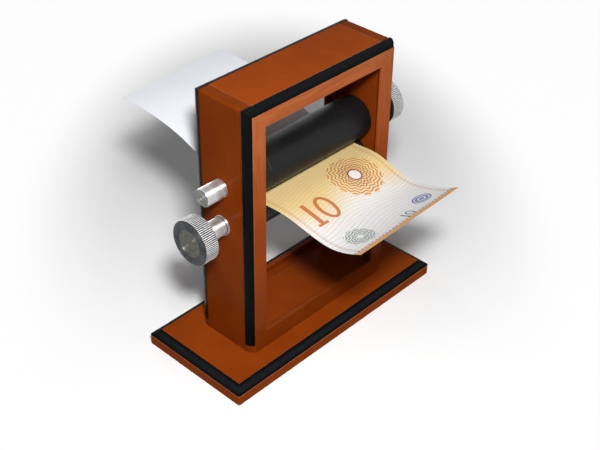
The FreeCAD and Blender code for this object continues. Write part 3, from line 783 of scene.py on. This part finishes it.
# The two long edges of each sheet, as (y, z) points from the nip outwards
NOTE_LEFT = [(0, NIP), (-8, 96.4), (-14.5, 96.9), (-21, 97.3), (-31.3, 96.7), (-38.2, 95.5),
             (-45.0, 94.2), (-51.7, 93.2), (-58.3, 93.0), (-64.8, 94.1), (-71.2, 96.3),
             (-77.8, 99.4)]
NOTE_RIGHT = [(0, NIP), (-8, 96.4), (-17, 97.0), (-24.4, 96.5), (-30.0, 94.9), (-36.0, 92.9),
              (-42.2, 91.4), (-49.1, 91.0), (-55.7, 92.2), (-62.2, 94.1), (-69.0, 96.6),
              (-77.0, 100.6)]
BLANK_START = 0.6
BLANK_LEFT = [(BLANK_START, NIP), (12, 97.0), (25, 99.9), (38.3, 105.6), (49.8, 110.0),
              (61.7, 112.7), (73.9, 114.2), (86.3, 114.6), (98.2, 113.9)]
BLANK_RIGHT = [(BLANK_START, NIP), (12, 96.9), (22, 98.9), (33.1, 102.9), (45, 107.7),
               (60, 111.9), (77.5, 114.6), (90, 115.4), (99.6, 115.5)]


def fair_curve(points, count):
    """count places along a smooth curve through (y, z) points, evenly spaced, and its length.

    The curve is a natural cubic spline: its bend is solved for, and is none at both ends.
    """
    points = np.array(points, float)
    chords = np.hypot(*np.diff(points, axis=0).T)
    knots = np.concatenate([[0.0], np.cumsum(chords)])
    size = len(knots)
    matrix = np.eye(size)
    for k in range(1, size - 1):
        matrix[k, k - 1 : k + 2] = (chords[k - 1], 2 * (chords[k - 1] + chords[k]), chords[k])
    slopes = np.diff(points, axis=0) / chords[:, None]
    right = np.zeros((size, 2))
    right[1:-1] = 6 * np.diff(slopes, axis=0)
    bend = np.linalg.solve(matrix, right)

    def at(t):
        k = np.clip(np.searchsorted(knots, t, side="right") - 1, 0, size - 2)
        h = chords[k][:, None]
        a = ((knots[k + 1] - t) / chords[k])[:, None]
        b = 1 - a
        curve = a * points[k] + b * points[k + 1]
        return curve + ((a**3 - a) * bend[k] + (b**3 - b) * bend[k + 1]) * h**2 / 6

    dense = at(np.linspace(0, knots[-1], 2000))
    run = np.concatenate([[0.0], np.cumsum(np.hypot(*np.diff(dense, axis=0).T))])
    wanted = np.linspace(0, run[-1], count)
    places = np.stack([np.interp(wanted, run, dense[:, axis]) for axis in (0, 1)], axis=1)
    return places, run[-1]


def sheet_surface(left, right, phase):
    """The middle surface of a sheet between its two long edges, slightly cockled.

    It comes as a grid of places, with rows from the nip outwards, and with the sheet's length.
    """
    left, left_run = fair_curve(left, SHEET_ROWS + 1)
    right, right_run = fair_curve(right, SHEET_ROWS + 1)
    run = (left_run + right_run) / 2
    share = np.linspace(0, 1, SHEET_COLUMNS + 1)
    grid = np.zeros((SHEET_ROWS + 1, SHEET_COLUMNS + 1, 3))
    grid[:, :, X] = PAPER_SIDES[0] + (PAPER_SIDES[1] - PAPER_SIDES[0]) * share
    grid[:, :, Y] = left[:, :1] * (1 - share) + right[:, :1] * share
    grid[:, :, Z] = left[:, 1:] * (1 - share) + right[:, 1:] * share
    over = grid[:, :, X]
    along = np.linspace(0, run, SHEET_ROWS + 1)[:, None]
    lift = np.sin(over / 11.0 + phase) * np.sin(along / 17.0 + phase * 2.0)
    lift += 0.5 * np.sin(over / 6.3 + along / 21.0 + phase * 3.0)
    grid[:, :, Z] += COCKLE * lift * np.clip(along / 25.0 - 0.4, 0, 1)
    return grid, run


def sheet_piece(name, left, right, material, back, phase):
    """A sheet of paper between two long edges of (y, z) points, from the nip outwards."""
    grid, run = sheet_surface(left, right, phase)
    normal = np.cross(np.gradient(grid, axis=0), np.gradient(grid, axis=1))
    normal /= np.linalg.norm(normal, axis=2, keepdims=True)
    forward = normal[0, 0, Z] > 0
    if not forward:
        normal = -normal
    half = normal * SHEET_THICKNESS / 2
    vertices = np.concatenate([(grid + half).reshape(-1, 3), (grid - half).reshape(-1, 3)]) * MM
    width = SHEET_COLUMNS + 1
    count = len(vertices) // 2
    upper = [[a, a + 1, a + width + 1, a + width]
             for row in range(SHEET_ROWS)
             for a in range(row * width, row * width + SHEET_COLUMNS)]
    lower = [[count + corner for corner in face[::-1]] for face in upper]
    rim = list(range(width))
    rim += [row * width + SHEET_COLUMNS for row in range(1, SHEET_ROWS + 1)]
    rim += [SHEET_ROWS * width + column for column in range(SHEET_COLUMNS - 1, -1, -1)]
    rim += [row * width for row in range(SHEET_ROWS - 1, 0, -1)]
    edge = [[a, b, count + b, count + a] for a, b in zip(rim, rim[1:] + rim[:1])]
    faces = upper + lower + edge
    if forward:
        faces = [face[::-1] for face in faces]
    piece = new_piece(name, vertices, faces, material, sharp=60.0)
    mesh = piece.data
    mesh.materials.append(back)
    kinds = [0] * len(upper) + [1] * len(lower) + [0] * len(edge)
    mesh.polygons.foreach_set("material_index", kinds)
    flat = np.zeros((SHEET_ROWS + 1, width, 2))
    flat[:, :, 0] = (grid[:, :, X] - sum(PAPER_SIDES) / 2) / MAP_UNIT + 0.5
    flat[:, :, 1] = np.linspace(0, run / MAP_UNIT, SHEET_ROWS + 1)[:, None]
    flat = np.tile(flat.reshape(-1, 2), (2, 1))
    corners = np.zeros(len(mesh.loops), int)
    mesh.loops.foreach_get("vertex_index", corners)
    layer = mesh.uv_layers.new(name="sheet")
    layer.data.foreach_set("uv", flat[corners].astype(np.float32).ravel())
    return piece


# Camera, floor and lights

CAMERA_PLACE = (-0.367345, -0.347023, 0.423264)
CAMERA_TURN = (54.1468, -0.7157, -46.3728)
CAMERA_LENS = 67.818
SENSOR_WIDTH = 36.0
AIM = (0.0, 0.0, 0.08)
KEY_PLACE = (-0.302, -0.324, 0.503)
# Each lamp's name, place, power in watts and diameter
LAMPS = (
    ("key", KEY_PLACE, 3.4, 0.07),
    ("high", (-0.285, -0.335, 0.56), 1.4, 0.15),
    ("rear", (0.30, 1.20, 0.15), 3.8, 0.3),
    ("right", (1.20, -0.30, 0.15), 3.0, 0.3),
)
WORLD_LIGHT = 0.08
FLOOR_REACH = 6.0
FLOOR_DROP = 0.0002
FLOOR_SHADE = (0.40, 0.40, 0.40)
WHITE = (1.0, 1.0, 1.0)
# The shadow's middle, from the object away from the key lamp, and its half length and half width
SHADOW_MIDDLE = 110.0
SHADOW_HALF_LENGTH = 200.0
SHADOW_HALF_WIDTH = 120.0


def add_camera():
    """The camera of the photograph's view. Its turn is in degrees about X, Y and Z."""
    data = bpy.data.cameras.new("camera")
    data.lens = CAMERA_LENS
    data.sensor_width = SENSOR_WIDTH
    data.sensor_fit = "HORIZONTAL"
    data.clip_start = 0.01
    data.clip_end = 20.0
    camera = bpy.data.objects.new("camera", data)
    camera.location = CAMERA_PLACE
    camera.rotation_euler = [math.radians(angle) for angle in CAMERA_TURN]
    bpy.context.scene.collection.objects.link(camera)
    bpy.context.scene.camera = camera


def seen_directly(tree):
    """1 on camera, glossy and transmission rays, so that metal shows the background too."""
    path = tree.nodes.new("ShaderNodeLightPath")
    camera, glossy, through = (
        Field(tree, path.outputs[f"Is {kind} Ray"])
        for kind in ("Camera", "Glossy", "Transmission")
    )
    return camera.either(glossy).either(through)


def add_floor():
    """A plain white floor. It glows white but for the ground where the shadow falls."""
    material, tree, shader = new_material("floor")
    set_shader(shader, Roughness=0.9, Specular_IOR_Level=0.0)
    seen = seen_directly(tree)
    link_shader(tree, shader, Base_Color=mix(tree, seen, FLOOR_SHADE, WHITE))
    x, y, _ = split(tree, coordinates(tree))
    away = -Vector(KEY_PLACE[:2]).normalized()
    along = (x * away.x + y * away.y - SHADOW_MIDDLE) / SHADOW_HALF_LENGTH
    across = (y * away.x - x * away.y) / SHADOW_HALF_WIDTH
    share = length(along, across).ramp(0.80, 1.50, 0.0, 0.97)
    glow = tree.nodes.new("ShaderNodeEmission")
    glow.inputs["Color"].default_value = (*WHITE, 1.0)
    blend = tree.nodes.new("ShaderNodeMixShader")
    tree.links.new((seen * share).socket, blend.inputs[0])
    tree.links.new(shader.outputs[0], blend.inputs[1])
    tree.links.new(glow.outputs[0], blend.inputs[2])
    tree.links.new(blend.outputs[0], tree.nodes["Material Output"].inputs["Surface"])
    far = FLOOR_REACH
    corners = [(-far, -far, 0.0), (far, -far, 0.0), (far, far, 0.0), (-far, far, 0.0)]
    floor = new_piece("floor", corners, [[0, 1, 2, 3]], material, smooth=False)
    floor.location.z = -FLOOR_DROP


def add_world():
    """A world that is white to look at and lights the object only faintly."""
    world = bpy.data.worlds.new("studio")
    world.use_nodes = True
    bpy.context.scene.world = world
    tree = world.node_tree
    background = tree.nodes["Background"]
    background.inputs["Color"].default_value = (*WHITE, 1.0)
    strength = seen_directly(tree) * (1.0 - WORLD_LIGHT) + WORLD_LIGHT
    tree.links.new(strength.socket, background.inputs["Strength"])


def add_lamp(name, place, power, diameter):
    """A round soft lamp that points at the middle of the object."""
    data = bpy.data.lights.new(name, "AREA")
    data.shape = "DISK"
    data.size = diameter
    data.energy = power
    lamp = bpy.data.objects.new(name, data)
    lamp.location = place
    direction = Vector(AIM) - Vector(place)
    lamp.rotation_euler = direction.to_track_quat("-Z", "Y").to_euler()
    bpy.context.scene.collection.objects.link(lamp)


# Dressing the frame


def dress(material, *names):
    """Gives CAD nodes a material, in the slots that they have."""
    for name in names:
        for holder in nodes[name].material_slots:
            holder.material = material


def paint_moulding(name, paint, black):
    """A copy of a moulding with its stepped round black, from a little above the base."""
    mesh = nodes[name].data.copy()
    mesh.name = f"{name}_painted"
    mesh.materials.clear()
    mesh.materials.append(paint)
    mesh.materials.append(black)
    work = bmesh.new()
    work.from_mesh(mesh)
    cut = (0.0, 0.0, BLACK_ROUND_START * MM)
    bmesh.ops.bisect_plane(work, geom=work.verts[:] + work.edges[:] + work.faces[:],
                           plane_co=cut, plane_no=(0.0, 0.0, 1.0))
    for face in work.faces:
        x, y, z = face.calc_center_median() / MM
        outer = max(abs(x) - HALF_WIDTH, z - TOP) > -BLACK_ROUND_WIDTH
        in_front = abs(y) > HALF_DEPTH - 0.02
        face.material_index = int(outer and not in_front and z > BLACK_ROUND_START)
    work.to_mesh(mesh)
    work.free()
    piece = bpy.data.objects.new(f"{name}_painted", mesh)
    bpy.context.scene.collection.objects.link(piece)
    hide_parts(name)
    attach(piece, "machine_frame")


def turn_part(level, name, part, outline, material, steps=128, knurled=False):
    """A turned piece of one roller in place of its CAD node, with that node's place and size."""
    node = f"{level}_{part}"
    body = f"{level}_roller"
    side = 1 if sum(span(node, X)) >= 0 else -1
    start, end = sorted(side * place for place in span(node, X))
    piece = turned_piece(f"{level}_{name}", outline(start, end, reach(node, Y)),
                         AXIS_HEIGHT[body], material, side, steps, knurled)
    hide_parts(node)
    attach(piece, body)


def lay_sheet(piece, node):
    """A sheet in place of its CAD node, with its place baked into its mesh."""
    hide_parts(node)
    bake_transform(piece)


# Building

add_camera()
add_floor()
add_world()
for lamp in LAMPS:
    add_lamp(*lamp)

# The base, the sides and the sill get darker copies of the top board's paint, as painted shade
# where less light falls on them
dress(painted_wood("rust_paint_base", X, edge=0.25, shade_tone=0.87, banded=True), "base_board")
dress(painted_wood("rust_paint_sides", Z, shade_tone=0.68, seams=True),
      "left_side_board", "right_side_board")
dress(painted_wood("rust_paint_upright", Z), "top_board")
dress(painted_wood("rust_paint_sill", X, shade_tone=0.78, seams=True), "bottom_board")
dress(plain_metal("screw_zinc", ZINC, 0.36), "base_screws")

stile_paint = painted_wood("rust_paint_stile", Z, 0.06, edge=0.3, shine=0.022, painted_height_light=True)
rail_paint = painted_wood("rust_paint_rail", X, 0.06, edge=0.3, shine=0.022, painted_height_light=True)
black = black_paint()
for side in ("front", "rear"):
    for stile in ("left_stile", "right_stile"):
        paint_moulding(f"{side}_{stile}", stile_paint, black)
    for rail in ("top_rail", "bottom_rail"):
        paint_moulding(f"{side}_{rail}", rail_paint, black)

steel = plain_metal("axle_steel", STEEL, 0.3)
brass = plain_metal("bush_brass", BRASS, 0.3)
dowel = stained_wood()
cloth = leathercloth()
aluminium = turned_metal("turned_aluminium")
knob_metal = turned_metal("turned_knob_aluminium", knob=True)
for level in ("upper", "lower"):
    dress(brass, f"{level}_left_bush", f"{level}_right_bush")
    dress(steel, f"{level}_axle")
    dress(dowel, f"{level}_roller_core")
    turn_part(level, "knob_head", "knob", knob_outline, knob_metal,
              steps=10 * KNURL_TEETH, knurled=True)
    turn_part(level, "spacer_sleeve", "knob_sleeve", sleeve_outline, aluminium)
    turn_part(level, "stub_collar", "end_collar", collar_outline, aluminium)
    turn_part(level, "leathercloth", "cloth_winding", winding_outline, cloth,
              steps=160)

note = sheet_piece("play_note_sheet", NOTE_LEFT, NOTE_RIGHT, play_note("play_note"),
                   play_note("play_note_back", faint=0.6), phase=1.0)
lay_sheet(note, "note")
white = white_paper()
blank = sheet_piece("blank_paper_sheet", BLANK_LEFT, BLANK_RIGHT, white, white, phase=2.0)
lay_sheet(blank, "blank_sheet")

bpy.context.scene.view_settings.view_transform = "Standard"
bpy.context.view_layer.update()
